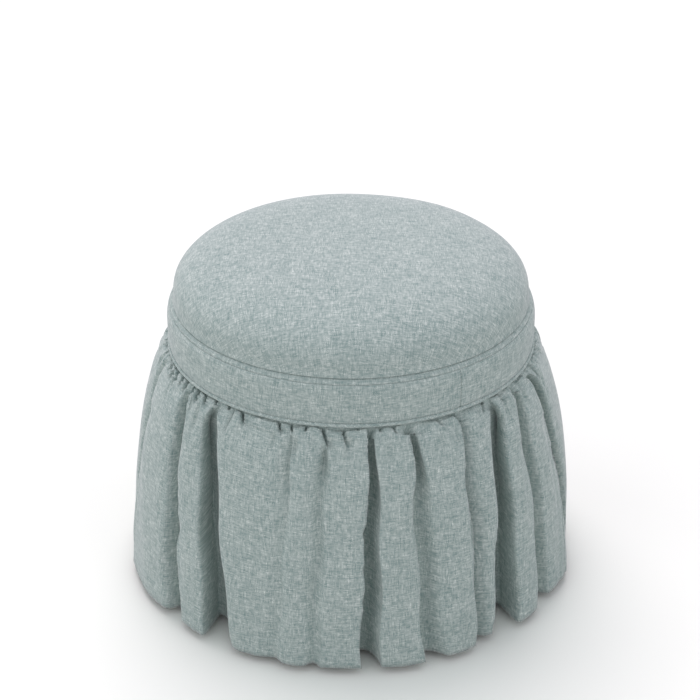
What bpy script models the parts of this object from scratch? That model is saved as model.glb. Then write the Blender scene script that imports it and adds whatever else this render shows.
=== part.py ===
"""Round storage ottoman: a lift-off cushion lid on a banded drum with a gathered skirt.

Units are metres and +Z is up. The front faces -Y and the glides stand on z = 0.
"""

import math

import bmesh
import bpy
from mathutils import Euler, Vector

MM = 0.001

# Fits
GAP = 0.3 * MM                 # clearance between pieces that touch
CLOTH_GAP = 0.4 * MM           # clearance between soft layers over the dome

# Base, outside
RIM_HEIGHT = 385 * MM          # floor to the plane where the lid rests
BAND_RADIUS = 237.8 * MM       # widest line of the padded band
BAND_HEIGHT = 57 * MM          # rim plane down to the band's lower edge
WAIST_FALL = 14 * MM           # last stretch of the band, where it pulls in to the welt
RIM_ROLL_WIDTH = 10.8 * MM     # radial half axis of the rolled rim
RIM_ROLL_DROP = 23 * MM        # vertical half axis of the rolled rim
SEAM_DROP = 5.5 * MM           # rim plane down to the seam between facing and band
FACING_TURN_IN = 25 * MM       # how far the facing runs down inside the opening
WELT_DIAMETER = 5 * MM
WELT_FLANGE = 1 * MM           # thickness of the welt's sewn flange
FLANGE_RISE = 9 * MM           # flange above the band's lower edge

# Base, frame
CLOTH = 1.2 * MM               # linen
SKIRT_CLOTH = 1.5 * MM         # linen with its lining
PADDING = 5 * MM
SHELL_THICKNESS = 5 * MM
HOOP_WIDTH = 20 * MM
HOOP_THICKNESS = 18 * MM
POST_WIDTH = 20 * MM
POST_COUNT = 6
LINING = 2 * MM                # lining board of the storage hollow
LINING_DROP = 4 * MM           # rim plane down to the lining's top edge
FLOOR_LINING = 3 * MM
PANEL = 12 * MM                # plywood of base panel and lid board
DUST_COVER = 1 * MM
DUST_COVER_INSET = 4 * MM      # dust cover edge inside the shell's outer face

# Feet
FRAME_CLEARANCE = 45 * MM      # floor to the underside of the base panel
FOOT_COUNT = 4
FOOT_CIRCLE = 165 * MM         # radius of the circle the feet stand on
FOOT_TOP_RADIUS = 24 * MM
FOOT_TOE_RADIUS = 17 * MM
GLIDE_RADIUS = 14 * MM
GLIDE_THICKNESS = 4 * MM
GLIDE_STEM_RADIUS = 2.5 * MM
GLIDE_STEM = 9 * MM
BOLT_RADIUS = 4 * MM
BOLT_IN_FOOT = 20 * MM

# Lid
LID_SETBACK = 9.5 * MM         # the lid's widest line inside the band's
LID_BELLY = 12.4 * MM          # rim plane up to the lid's widest line
LID_CROWN = 59.5 * MM          # crown above the widest line
LID_TUCK = 6 * MM              # how far the lower edge rolls in under the belly
LID_TURN_UNDER = 17 * MM       # cover turned under the board
BATTING = 5 * MM
BATTING_EDGE = 3 * MM          # thickness of the batting's feathered lower edge
BATTING_LAP = 8 * MM           # how far the batting laps the board's edge
DOME_POWER_OUT = 4.0           # higher is squarer at the shoulder
DOME_POWER_UP = 2.2

# Cleats under the lid
CLEAT_COUNT = 4
CLEAT_WIDTH = 16 * MM
CLEAT_HEIGHT = 18 * MM
CLEAT_SPREAD = 36              # degrees of arc in each cleat
CLEAT_CLEARANCE = 3 * MM       # play between cleats and lining wall
CLEAT_SCREW_SPREAD = 20        # degrees between a cleat's two screws

# Screws
SCREW_RADIUS = 2.2 * MM
SCREW_HEAD_RADIUS = 4.2 * MM
SCREW_HEAD = 2.6 * MM
CLEAT_SCREW_GRIP = 8 * MM      # thread in the lid board
HOOP_SCREW_GRIP = 28 * MM      # thread in each post
POCKET_REACH = 3 * MM          # how far a cutter stands proud of what it cuts

# Skirt
HEM_CLEARANCE = 10 * MM
HEM_RADIUS = 303 * MM          # ridges at the hem
PUFF = 13.5 * MM               # cloth thrown out just below the welt
PUFF_DROP = 4 * MM             # fall over which the puff forms
FLARE_DROP = 180 * MM          # fall over which the flare dies away
FOLD_DROP = 35 * MM            # fall over which the folds reach full depth
FOLD_SHARPNESS = 1.5           # higher makes narrower valleys
HIDDEN_FOLDS = 12              # folds round the back, out of the photo's view

# Valleys seen from the front: degrees right of the front at the welt,
# the same at the hem, and depth behind the ridges at the hem in millimetres
SEEN_FOLDS = (
    (-76.0, -84.0, 16),
    (-59.0, -55.0, 16),
    (-40.0, -36.0, 26),
    (-17.0, -19.0, 9),
    (-7.5, -9.5, 12),
    (5.0, 4.5, 20),
    (17.5, 20.0, 14),
    (32.4, 32.0, 16),
    (44.0, 41.5, 22),
    (55.5, 58.0, 20),
    (76.0, 84.0, 18),
)

# Mesh fineness
RING_STEPS = 60
SMALL_STEPS = 8
FOOT_STEPS = 18
COVER_SHARES = (0, 0.35, 0.6, 0.78, 0.89, 0.95, 0.985, 1)   # of the lid's radius
FILLING_SHARES = (0, 0.6, 0.78, 0.89, 0.95, 1)
FOLD_SHARES = (0, 0.28, 0.5, 0.72)                           # of the way between valleys

# Radii worked out from the band inwards
FACET = BAND_RADIUS * (1 - math.cos(math.pi / RING_STEPS))
PAD_INNER = BAND_RADIUS - CLOTH - GAP - PADDING
SHELL_OUTER = PAD_INNER - GAP
SHELL_INNER = SHELL_OUTER - SHELL_THICKNESS
HOOP_OUTER = SHELL_INNER - GAP
HOOP_INNER = HOOP_OUTER - HOOP_WIDTH
FACING_INNER = HOOP_INNER - GAP - CLOTH
LINING_OUTER = FACING_INNER - GAP
STORAGE_RADIUS = LINING_OUTER - LINING
HEADING_OUTER = SHELL_OUTER + GAP + FACET + SKIRT_CLOTH
FLANGE_INNER = HEADING_OUTER + GAP + FACET
WAIST_RADIUS = FLANGE_INNER + WELT_FLANGE + GAP + CLOTH
WELT_CENTRE = FLANGE_INNER + WELT_DIAMETER / 2

# Heights worked out from the rim plane down and from the floor up
HOOP_TOP = RIM_HEIGHT - CLOTH - GAP
HOOP_BOTTOM = HOOP_TOP - HOOP_THICKNESS
BAND_BOTTOM = RIM_HEIGHT - BAND_HEIGHT
FLANGE_TOP = BAND_BOTTOM + FLANGE_RISE
WELT_HEIGHT = BAND_BOTTOM - GAP - WELT_DIAMETER / 2
WELT_BOTTOM = WELT_HEIGHT - WELT_DIAMETER / 2
PANEL_TOP = FRAME_CLEARANCE + PANEL
DUST_COVER_BOTTOM = FRAME_CLEARANCE - GAP - DUST_COVER
FOOT_TOP = DUST_COVER_BOTTOM - GAP
FOOT_BOTTOM = GLIDE_THICKNESS + GAP

# Lid sizes, heights measured from the rim plane
LID_RADIUS = BAND_RADIUS - LID_SETBACK
LID_TURN_RADIUS = LID_RADIUS - LID_TUCK - LID_TURN_UNDER
BOARD_BOTTOM = GAP + CLOTH + GAP
BOARD_TOP = BOARD_BOTTOM + PANEL
CLEAT_OUTER = STORAGE_RADIUS - CLEAT_CLEARANCE
CLEAT_INNER = CLEAT_OUTER - CLEAT_WIDTH
CLEAT_SCREW_CIRCLE = (CLEAT_OUTER + CLEAT_INNER) / 2
HOOP_SCREW_CIRCLE = (HOOP_OUTER + HOOP_INNER) / 2 * math.cos(math.pi / RING_STEPS)

# Colour, roughness, metallic
LOOKS = {
    "linen": ((0.36, 0.43, 0.43), 0.95, 0.0),
    "linen_skirt": ((0.34, 0.41, 0.40), 0.95, 0.0),
    "lining_cloth": ((0.55, 0.53, 0.48), 0.9, 0.0),
    "dust_cloth": ((0.03, 0.03, 0.03), 0.95, 0.0),
    "wadding": ((0.85, 0.85, 0.82), 1.0, 0.0),
    "foam": ((0.80, 0.72, 0.45), 1.0, 0.0),
    "plywood": ((0.62, 0.45, 0.27), 0.6, 0.0),
    "timber": ((0.55, 0.38, 0.20), 0.6, 0.0),
    "dark_wood": ((0.10, 0.06, 0.035), 0.45, 0.0),
    "steel": ((0.60, 0.60, 0.58), 0.35, 1.0),
    "plastic": ((0.05, 0.05, 0.05), 0.5, 0.0),
}


def clear_scene():
    for obj in list(bpy.data.objects):
        bpy.data.objects.remove(obj, do_unlink=True)


def new_collection(name):
    collection = bpy.data.collections.new(name)
    bpy.context.scene.collection.children.link(collection)
    return collection


def new_material(name, look):
    colour, roughness, metallic = LOOKS[look]
    material = bpy.data.materials.new(name)
    material.use_nodes = True
    shader = material.node_tree.nodes["Principled BSDF"]
    shader.inputs["Base Color"].default_value = (*colour, 1.0)
    shader.inputs["Roughness"].default_value = roughness
    shader.inputs["Metallic"].default_value = metallic
    return material


def add_part(name, data, look, parent):
    """Put a piece into the ottoman's collection with its own material."""
    obj = bpy.data.objects.new(name, data)
    data.materials.append(new_material(name, look))
    bpy.data.collections["storage_ottoman"].objects.link(obj)
    obj.parent = parent
    return obj


def add_cutter(name, data, collection):
    obj = bpy.data.objects.new(name, data)
    obj.hide_render = True
    obj.display_type = 'WIRE'
    collection.objects.link(obj)
    return obj


def add_empty(name, location):
    empty = bpy.data.objects.new(name, None)
    empty.location = location
    bpy.context.scene.collection.objects.link(empty)
    return empty


def profile_mesh(name, profile, closed):
    """Mesh of edges along (radius, height) points, in the XZ plane."""
    count = len(profile)
    edges = [(i, i + 1) for i in range(count - 1)]
    if closed:
        edges.append((count - 1, 0))
    mesh = bpy.data.meshes.new(name)
    mesh.from_pydata([(r, 0.0, z) for r, z in profile], edges, [])
    return mesh


def turn(obj, steps, smooth):
    screw = obj.modifiers.new("Turn", 'SCREW')
    screw.steps = steps
    screw.render_steps = steps
    screw.use_merge_vertices = True
    screw.merge_threshold = 0.00001
    screw.use_smooth_shade = smooth


def solidify(obj, thickness):
    """Thicken an open surface inwards, keeping its outer face."""
    solid = obj.modifiers.new("Thickness", 'SOLIDIFY')
    solid.thickness = thickness
    solid.offset = -1
    solid.use_even_offset = True


def turned(name, profile, look, parent, closed=False, steps=RING_STEPS, smooth=True):
    """Solid of revolution; the profile runs down its outer side."""
    obj = add_part(name, profile_mesh(name, profile, closed), look, parent)
    turn(obj, steps, smooth)
    return obj


def turned_cloth(name, profile, thickness, look, parent):
    """Cloth turned round the axis, thickened inwards from its outer face."""
    obj = turned(name, profile, look, parent)
    solidify(obj, thickness)
    return obj


def disc(name, radius, bottom, thickness, look, parent):
    top = bottom + thickness
    profile = [(0, top), (radius, top), (radius, bottom), (0, bottom)]
    return turned(name, profile, look, parent, smooth=False)


def ring(name, inner, outer, bottom, top, look, parent):
    profile = [(inner, top), (outer, top), (outer, bottom), (inner, bottom)]
    return turned(name, profile, look, parent, closed=True, smooth=False)


def cut(obj, cutters):
    pocket = obj.modifiers.new("Pockets", 'BOOLEAN')
    pocket.operation = 'DIFFERENCE'
    pocket.operand_type = 'COLLECTION'
    pocket.collection = cutters


def polar(radius, degrees, height):
    angle = math.radians(degrees)
    return Vector((radius * math.cos(angle), radius * math.sin(angle), height))


def inset(profile, distance):
    """Move a profile inwards by a distance, square to its own direction."""
    normals = []
    for (r0, z0), (r1, z1) in zip(profile, profile[1:]):
        normals.append(Vector((z0 - z1, r1 - r0)).normalized())
    moved = []
    for i, (r, z) in enumerate(profile):
        before = normals[max(i - 1, 0)]
        after = normals[min(i, len(normals) - 1)]
        normal = Vector((0, 1)) if r == 0 else (before + after).normalized()
        reach = distance / max(normal.dot(after), 0.5)
        moved.append((r - normal.x * reach, z - normal.y * reach))
    return moved


def keep_above(profile, height):
    """Part of a falling profile above a height, ended exactly at it."""
    kept = [profile[0]]
    for (r0, z0), (r1, z1) in zip(profile, profile[1:]):
        if z1 <= height:
            share = (z0 - height) / (z0 - z1)
            kept.append((r0 + (r1 - r0) * share, height))
            return kept
        kept.append((r1, z1))
    return kept


def rim_roll(angle):
    """Point on the rolled rim, from its flat top (0) to the band's side (90 degrees)."""
    turn_in = RIM_ROLL_WIDTH * (1 - math.sin(angle))
    drop = RIM_ROLL_DROP * (1 - math.cos(angle))
    return (BAND_RADIUS - turn_in, RIM_HEIGHT - drop)


def seam_angle():
    return math.acos(1 - SEAM_DROP / RIM_ROLL_DROP)


def facing_outline():
    """Outer face of the rim facing, from inside the opening out to the seam."""
    corner = CLOTH
    return [
        (FACING_INNER, RIM_HEIGHT - FACING_TURN_IN),
        (FACING_INNER, RIM_HEIGHT - corner),
        (FACING_INNER + corner, RIM_HEIGHT),
        rim_roll(0),
        rim_roll(seam_angle() / 2),
        rim_roll(seam_angle()),
    ]


def shell_top():
    """Height at which the shell's outer edge meets the underside of the rolled rim."""
    underside = inset(facing_outline(), CLOTH + GAP)
    for (r0, z0), (r1, z1) in zip(underside, underside[1:]):
        if r0 < SHELL_OUTER <= r1:
            return z0 + (z1 - z0) * (SHELL_OUTER - r0) / (r1 - r0)
    return underside[-1][1]


def band_side():
    """Outer face of the band from the seam down to its waist at the welt."""
    start = seam_angle()
    roll = [rim_roll(start + (math.pi / 2 - start) * share) for share in (0, 0.45, 1)]
    pull = BAND_RADIUS - WAIST_RADIUS
    waist = []
    for share in (0, 0.6, 1):
        height = BAND_BOTTOM + WAIST_FALL * (1 - share)
        waist.append((BAND_RADIUS - pull * share ** 2, height))
    return roll + waist


def dome(shares):
    """Outer face of the lid from the crown down to its widest line."""
    points = []
    for share in shares:
        rise = (1 - share ** DOME_POWER_OUT) ** (1 / DOME_POWER_UP)
        points.append((LID_RADIUS * share, LID_BELLY + LID_CROWN * rise))
    return points


def lid_outline():
    """Dome, lower roll and the edge turned under the board."""
    crown_to_belly = dome(COVER_SHARES)
    half_roll = math.radians(45)
    roll_in = LID_TUCK * (1 - math.cos(half_roll))
    roll_down = (LID_BELLY - GAP) * math.sin(half_roll)
    lower_roll = [
        (LID_RADIUS - roll_in, LID_BELLY - roll_down),
        (LID_RADIUS - LID_TUCK, GAP),
    ]
    return crown_to_belly + lower_roll + [(LID_TURN_RADIUS, GAP)]


def make_lid_cover(lid):
    turned_cloth("lid_cover", lid_outline(), CLOTH, "linen", lid)


def batting_inside():
    """Inner face of the batting, from the crown down to the top of the board."""
    return keep_above(inset(dome(FILLING_SHARES), CLOTH + CLOTH_GAP + BATTING), BOARD_TOP)


def make_lid_batting(lid):
    """Wadding over the foam, lapping the board and feathered at its lower edge."""
    edge = BOARD_TOP - BATTING_LAP
    outer = inset(dome(FILLING_SHARES), CLOTH + CLOTH_GAP)
    inner = batting_inside()
    side = inner[-1][0]
    profile = outer + [(side + BATTING_EDGE, edge), (side, edge)] + inner[::-1]
    turned("lid_batting", profile, "wadding", lid)


def make_lid_foam(lid):
    top = inset(dome(FILLING_SHARES), CLOTH + CLOTH_GAP + BATTING + CLOTH_GAP)
    profile = keep_above(top, BOARD_TOP + GAP) + [(0, BOARD_TOP + GAP)]
    turned("lid_foam", profile, "foam", lid)


def make_lid_board(lid, screw_pockets):
    radius = batting_inside()[-1][0] - GAP
    board = disc("lid_board", radius, BOARD_BOTTOM, PANEL, "plywood", lid)
    cut(board, screw_pockets)


def make_lid_underside(lid, screw_pockets):
    radius = LID_TURN_RADIUS - GAP
    lining = disc("lid_underside_lining", radius, GAP, CLOTH, "lining_cloth", lid)
    cut(lining, screw_pockets)


def add_outline(curve, points):
    spline = curve.splines.new('POLY')
    spline.points.add(len(points) - 1)
    for point, (x, y) in zip(spline.points, points):
        point.co = (x, y, 0, 1)
    spline.use_cyclic_u = True


def arc(radius, start, end, count):
    points = []
    for i in range(count + 1):
        spot = polar(radius, start + (end - start) * i / count, 0)
        points.append((spot.x, spot.y))
    return points


def make_cleat(number, lid):
    """Curved block under the lid, drilled for its two screws."""
    curve = bpy.data.curves.new(f"lid_cleat_{number}", 'CURVE')
    curve.dimensions = '2D'
    curve.fill_mode = 'BOTH'
    curve.extrude = CLEAT_HEIGHT / 2
    half = CLEAT_SPREAD / 2
    add_outline(curve, arc(CLEAT_OUTER, -half, half, 6) + arc(CLEAT_INNER, half, -half, 6))
    for side in (-1, 1):
        centre = polar(CLEAT_SCREW_CIRCLE, side * CLEAT_SCREW_SPREAD / 2, 0)
        hole = arc(SCREW_RADIUS + GAP, 0, 360 - 360 / SMALL_STEPS, SMALL_STEPS - 1)
        add_outline(curve, [(centre.x + x, centre.y + y) for x, y in hole])
    cleat = add_part(f"lid_cleat_{number}", curve, "timber", lid)
    cleat.location.z = -CLEAT_HEIGHT / 2
    cleat.rotation_euler.z = math.radians(360 / CLEAT_COUNT * (number - 1))


def screw_profile(length, grow=0.0, reach=0.0):
    """Pan-head screw, its head's top at height 0 and its point down."""
    seat = -SCREW_HEAD - grow
    point = -SCREW_HEAD - length - grow
    return [
        (0, reach),
        (SCREW_HEAD_RADIUS + grow, reach),
        (SCREW_HEAD_RADIUS + grow, seat),
        (SCREW_RADIUS + grow, seat),
        (SCREW_RADIUS + grow, point),
        (0, point),
    ]


def add_screw(name, length, location, rotation, parent, pockets):
    """Screw and the pocket that clears it."""
    screw = turned(name, screw_profile(length), "steel", parent, steps=SMALL_STEPS, smooth=False)
    screw.location = location
    screw.rotation_euler = rotation
    room = profile_mesh(f"{name}_pocket", screw_profile(length, GAP, POCKET_REACH), False)
    pocket = add_cutter(f"{name}_pocket", room, pockets)
    pocket.parent = parent
    pocket.location = location
    pocket.rotation_euler = rotation
    turn(pocket, SMALL_STEPS, False)


def make_cleats(lid, pockets):
    """Cleats below the lid board, each held by two screws driven from below."""
    length = CLEAT_HEIGHT + BOARD_BOTTOM + CLEAT_SCREW_GRIP
    seat = -CLEAT_HEIGHT - GAP - SCREW_HEAD
    upward = Euler((math.pi, 0, 0))
    number = 0
    for cleat in range(CLEAT_COUNT):
        make_cleat(cleat + 1, lid)
        for side in (-1, 1):
            number += 1
            degrees = 360 / CLEAT_COUNT * cleat + side * CLEAT_SCREW_SPREAD / 2
            spot = polar(CLEAT_SCREW_CIRCLE, degrees, seat)
            add_screw(f"lid_cleat_screw_{number}", length, spot, upward, lid, pockets)


def make_frame(base, screw_pockets, bolt_pockets):
    """Drum shell, hoop, posts and base panel."""
    ring("drum_shell", SHELL_INNER, SHELL_OUTER, FRAME_CLEARANCE, shell_top(), "plywood", base)
    hoop = ring("top_hoop", HOOP_INNER, HOOP_OUTER, HOOP_BOTTOM, HOOP_TOP, "plywood", base)
    cut(hoop, screw_pockets)
    panel = disc("base_panel", HOOP_OUTER, FRAME_CLEARANCE, PANEL, "plywood", base)
    cut(panel, bolt_pockets)
    for number in range(POST_COUNT):
        make_post(number, base, screw_pockets)


def post_angle(number):
    """Posts and their screws stand on the middles of the rings' flats."""
    flat = 360 / RING_STEPS
    return flat / 2 + flat * round(RING_STEPS * (number + 0.5) / POST_COUNT)


def make_post(number, base, screw_pockets):
    bottom = PANEL_TOP + GAP
    top = HOOP_BOTTOM - GAP
    flat = math.cos(math.pi / RING_STEPS)
    mesh = bpy.data.meshes.new(f"post_{number + 1}")
    shape = bmesh.new()
    bmesh.ops.create_cube(shape, size=1)
    bmesh.ops.scale(shape, vec=(HOOP_WIDTH * flat, POST_WIDTH, top - bottom), verts=shape.verts)
    shape.to_mesh(mesh)
    shape.free()
    post = add_part(f"post_{number + 1}", mesh, "timber", base)
    post.location = polar(HOOP_SCREW_CIRCLE, post_angle(number), (top + bottom) / 2)
    post.rotation_euler.z = math.radians(post_angle(number))
    cut(post, screw_pockets)


def make_hoop_screws(base, pockets):
    upright = Euler((0, 0, 0))
    length = HOOP_THICKNESS - SCREW_HEAD + HOOP_SCREW_GRIP
    for number in range(POST_COUNT):
        spot = polar(HOOP_SCREW_CIRCLE, post_angle(number), HOOP_TOP - GAP)
        add_screw(f"hoop_screw_{number + 1}", length, spot, upright, base, pockets)


def make_lining(base):
    """Lined storage hollow: wall and floor."""
    bottom = PANEL_TOP + GAP
    top = RIM_HEIGHT - LINING_DROP
    ring("lining_wall", STORAGE_RADIUS, LINING_OUTER, bottom, top, "lining_cloth", base)
    disc("lining_floor", STORAGE_RADIUS - GAP, bottom, FLOOR_LINING, "lining_cloth", base)


def make_rim_facing(base):
    """Cloth from inside the opening, over the rim, out to the seam."""
    turned_cloth("rim_facing", facing_outline(), CLOTH, "linen", base)


def make_band(base):
    """Band cloth over its padding."""
    side = band_side()
    below_seam = Vector(side[0]).lerp(Vector(side[1]), GAP / SEAM_DROP)
    turned_cloth("band_cover", [tuple(below_seam)] + side[1:], CLOTH, "linen", base)
    inner = inset(side, CLOTH + GAP)
    bottom = FLANGE_TOP + GAP
    outer = keep_above(inner, bottom)
    profile = [(PAD_INNER, outer[0][1])] + outer + [(PAD_INNER, bottom)]
    turned("band_padding", profile, "wadding", base, closed=True)


def make_welt(base):
    """Piping: a round cord with a flange that runs up behind the band."""
    radius = WELT_DIAMETER / 2
    flange_outer = FLANGE_INNER + WELT_FLANGE
    meet = math.degrees(math.acos((flange_outer - WELT_CENTRE) / radius))
    profile = [(flange_outer, FLANGE_TOP)]
    for degrees in (meet, 60, 0, -60, -120, -180):
        spot = polar(radius, degrees, 0)
        profile.append((WELT_CENTRE + spot.x, WELT_HEIGHT + spot.y))
    profile.append((FLANGE_INNER, FLANGE_TOP))
    turned("welt", profile, "linen", base, closed=True)


def all_folds():
    """Valleys all round, as (degrees at the welt, degrees at the hem, depth)."""
    folds = [(top, hem, depth * MM) for top, hem, depth in SEEN_FOLDS]
    first = SEEN_FOLDS[-1][1] + 14
    last = 360 + SEEN_FOLDS[0][1] - 14
    for i in range(HIDDEN_FOLDS):
        degrees = first + (last - first) * i / (HIDDEN_FOLDS - 1)
        sway = 2.5 * math.sin(2.1 * i) if 0 < i < HIDDEN_FOLDS - 1 else 0
        depth = (17 + 6 * math.sin(1.3 * i + 0.5)) * MM
        folds.append((degrees + sway, degrees - 0.5 * sway, depth))
    return folds


def ridge_radius(fall):
    """Radius of the skirt's ridges at a fall below the welt."""
    full_fall = WELT_BOTTOM - HEM_CLEARANCE
    flare = HEM_RADIUS - HEADING_OUTER - PUFF
    flare_share = (1 - math.exp(-fall / FLARE_DROP)) / (1 - math.exp(-full_fall / FLARE_DROP))
    return HEADING_OUTER + PUFF * (1 - math.exp(-fall / PUFF_DROP)) + flare * flare_share


def skirt_column(folds, column):
    """Fold before a column, the next fold, and the share of the way between them."""
    index, step = divmod(column, len(FOLD_SHARES))
    index %= len(folds)
    before = folds[index]
    if index + 1 < len(folds):
        after = folds[index + 1]
    else:
        after = (folds[0][0] + 360, folds[0][1] + 360, folds[0][2])
    return before, after, FOLD_SHARES[step]


def skirt_point(folds, column, fall):
    """Point on the skirt's outer face; degrees are counted from the front to the right."""
    before, after, share = skirt_column(folds, column)
    low = min(max(fall, 0) / (WELT_BOTTOM - HEM_CLEARANCE), 1)
    start = before[0] + (before[1] - before[0]) * low
    end = after[0] + (after[1] - after[0]) * low
    depth = before[2] if share < 0.5 else after[2]
    if fall <= 0:
        radius = HEADING_OUTER
    else:
        valley = (0.5 + 0.5 * math.cos(2 * math.pi * share)) ** FOLD_SHARPNESS
        radius = ridge_radius(fall) - depth * valley * (1 - math.exp(-fall / FOLD_DROP))
    return polar(radius, start + (end - start) * share - 90, WELT_BOTTOM - fall)


def make_skirt(base):
    """Gathered skirt: a sheet rolled into a tube, hung from its heading in folds."""
    folds = all_folds()
    columns = len(FOLD_SHARES) * len(folds)
    heading = WELT_BOTTOM - FLANGE_TOP
    hem = WELT_BOTTOM - HEM_CLEARANCE
    falls = (heading, 0, 7 * MM, 0.1 * hem, 0.4 * hem, hem)
    sheet = bmesh.new()
    bmesh.ops.create_grid(sheet, x_segments=columns, y_segments=len(falls) - 1, size=0.5)
    for vertex in sheet.verts:
        column = round((vertex.co.x + 0.5) * columns)
        row = round((0.5 - vertex.co.y) * (len(falls) - 1))
        vertex.co = skirt_point(folds, column, falls[row])
    bmesh.ops.remove_doubles(sheet, verts=sheet.verts, dist=0.00001)
    mesh = bpy.data.meshes.new("skirt")
    sheet.to_mesh(mesh)
    sheet.free()
    mesh.shade_smooth()
    skirt = add_part("skirt", mesh, "linen_skirt", base)
    solidify(skirt, SKIRT_CLOTH)


def make_dust_cover(base, bolt_pockets):
    radius = SHELL_OUTER - DUST_COVER_INSET
    cover = disc("base_dust_cover", radius, DUST_COVER_BOTTOM, DUST_COVER, "dust_cloth", base)
    cut(cover, bolt_pockets)


def foot_profile():
    """Tapered foot, bored for its bolt above and its glide's stem below."""
    bolt_hole = BOLT_RADIUS + GAP
    stem_hole = GLIDE_STEM_RADIUS + GAP
    bolt_end = FOOT_TOP - BOLT_IN_FOOT - GAP
    stem_end = GLIDE_THICKNESS + GLIDE_STEM + GAP
    return [
        (0, bolt_end),
        (bolt_hole, bolt_end),
        (bolt_hole, FOOT_TOP),
        (FOOT_TOP_RADIUS, FOOT_TOP),
        (FOOT_TOP_RADIUS, FOOT_TOP - 6 * MM),
        (FOOT_TOE_RADIUS, FOOT_BOTTOM),
        (stem_hole, FOOT_BOTTOM),
        (stem_hole, stem_end),
        (0, stem_end),
    ]


def glide_profile():
    edge = GLIDE_THICKNESS / 4
    stem_top = GLIDE_THICKNESS + GLIDE_STEM
    return [
        (0, stem_top),
        (GLIDE_STEM_RADIUS, stem_top),
        (GLIDE_STEM_RADIUS, GLIDE_THICKNESS),
        (GLIDE_RADIUS, GLIDE_THICKNESS),
        (GLIDE_RADIUS, edge),
        (GLIDE_RADIUS - edge, 0),
        (0, 0),
    ]


def bolt_profile(grow=0.0, reach=0.0):
    bottom = FOOT_TOP - BOLT_IN_FOOT - grow
    top = PANEL_TOP - 1 * MM + reach
    radius = BOLT_RADIUS + grow
    return [(0, top), (radius, top), (radius, bottom), (0, bottom)]


def make_feet(base, bolt_pockets):
    """Feet on bolts through the base panel, each with a glide nailed under it."""
    for number in range(1, FOOT_COUNT + 1):
        spot = polar(FOOT_CIRCLE, 360 / FOOT_COUNT * (number - 0.5), 0)
        pieces = [
            turned(f"foot_{number}", foot_profile(), "dark_wood", base, steps=FOOT_STEPS),
            turned(f"foot_bolt_{number}", bolt_profile(), "steel", base, steps=SMALL_STEPS),
            turned(f"foot_glide_{number}", glide_profile(), "plastic", base, steps=FOOT_STEPS),
        ]
        room = profile_mesh(f"foot_bolt_{number}_pocket", bolt_profile(GAP, POCKET_REACH), False)
        pocket = add_cutter(f"foot_bolt_{number}_pocket", room, bolt_pockets)
        turn(pocket, SMALL_STEPS, False)
        for piece in pieces + [pocket]:
            piece.location = spot


def make_lid():
    lid = add_empty("lid", (0, 0, RIM_HEIGHT))
    pockets = new_collection("cutters_lid_screws")
    make_lid_cover(lid)
    make_lid_batting(lid)
    make_lid_foam(lid)
    make_lid_board(lid, pockets)
    make_lid_underside(lid, pockets)
    make_cleats(lid, pockets)


def make_base():
    base = add_empty("base", (0, 0, 0))
    screw_pockets = new_collection("cutters_hoop_screws")
    bolt_pockets = new_collection("cutters_foot_bolts")
    make_frame(base, screw_pockets, bolt_pockets)
    make_hoop_screws(base, screw_pockets)
    make_lining(base)
    make_rim_facing(base)
    make_band(base)
    make_welt(base)
    make_skirt(base)
    make_dust_cover(base, bolt_pockets)
    make_feet(base, bolt_pockets)


def main():
    clear_scene()
    new_collection("storage_ottoman")
    make_base()
    make_lid()


main()
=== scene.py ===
"""Looks of the round storage ottoman: linen cushion lid, padded band, welt and gathered skirt.

Metres, +Z up, the front faces -Y. Angles round the object are counted in degrees from the
front to the right. Soft solids of the frame, its feet and its glides are replaced by modelled
pieces; the other solids keep their shape and get a finish.
"""

import math

import bpy
import numpy as np
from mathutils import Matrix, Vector


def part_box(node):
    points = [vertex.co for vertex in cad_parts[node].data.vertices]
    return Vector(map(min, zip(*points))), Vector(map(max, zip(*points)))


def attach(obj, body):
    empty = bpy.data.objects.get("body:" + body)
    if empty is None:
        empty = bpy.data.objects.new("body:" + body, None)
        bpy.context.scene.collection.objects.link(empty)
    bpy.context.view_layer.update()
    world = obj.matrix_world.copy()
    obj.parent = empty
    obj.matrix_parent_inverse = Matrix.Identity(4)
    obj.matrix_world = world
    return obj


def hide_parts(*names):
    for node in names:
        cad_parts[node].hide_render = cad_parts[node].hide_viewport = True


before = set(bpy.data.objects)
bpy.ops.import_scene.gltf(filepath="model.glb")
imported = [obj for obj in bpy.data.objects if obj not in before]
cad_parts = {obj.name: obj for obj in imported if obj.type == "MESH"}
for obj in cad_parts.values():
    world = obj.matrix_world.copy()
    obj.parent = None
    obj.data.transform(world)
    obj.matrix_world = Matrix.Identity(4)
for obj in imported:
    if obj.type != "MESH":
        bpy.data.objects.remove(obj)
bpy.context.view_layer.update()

MM = 0.001

# The photograph's view
CAMERA_PLACE = (-0.0013, -2.0557, 1.4166)
CAMERA_TILT = 61.49            # degrees up from straight down
FOCAL_LENGTH = 91.52           # millimetres, on a sensor 36 mm wide

# Cloth thicknesses and clearances
GAP = 0.3 * MM
CLOTH = 1.2 * MM

# Weave of the cloths
WANDER_SCALE = 35              # how often in a metre the threads wander off their line
WANDER = 1.2 * MM              # how far
SLUB = 0.1                     # higher makes the thick places of a thread shorter
THREAD_STEP = 5.7              # keeps the tones of neighbouring threads apart
WEFT_PLACE = 40.0              # keeps the tones of weft and warp apart
TONE_DRIFT = 0.06              # slow change of tone over the cloth
LIGHT_POWER = 1.6              # higher makes light threads rarer
THREAD_HEIGHT = 0.25 * MM

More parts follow.
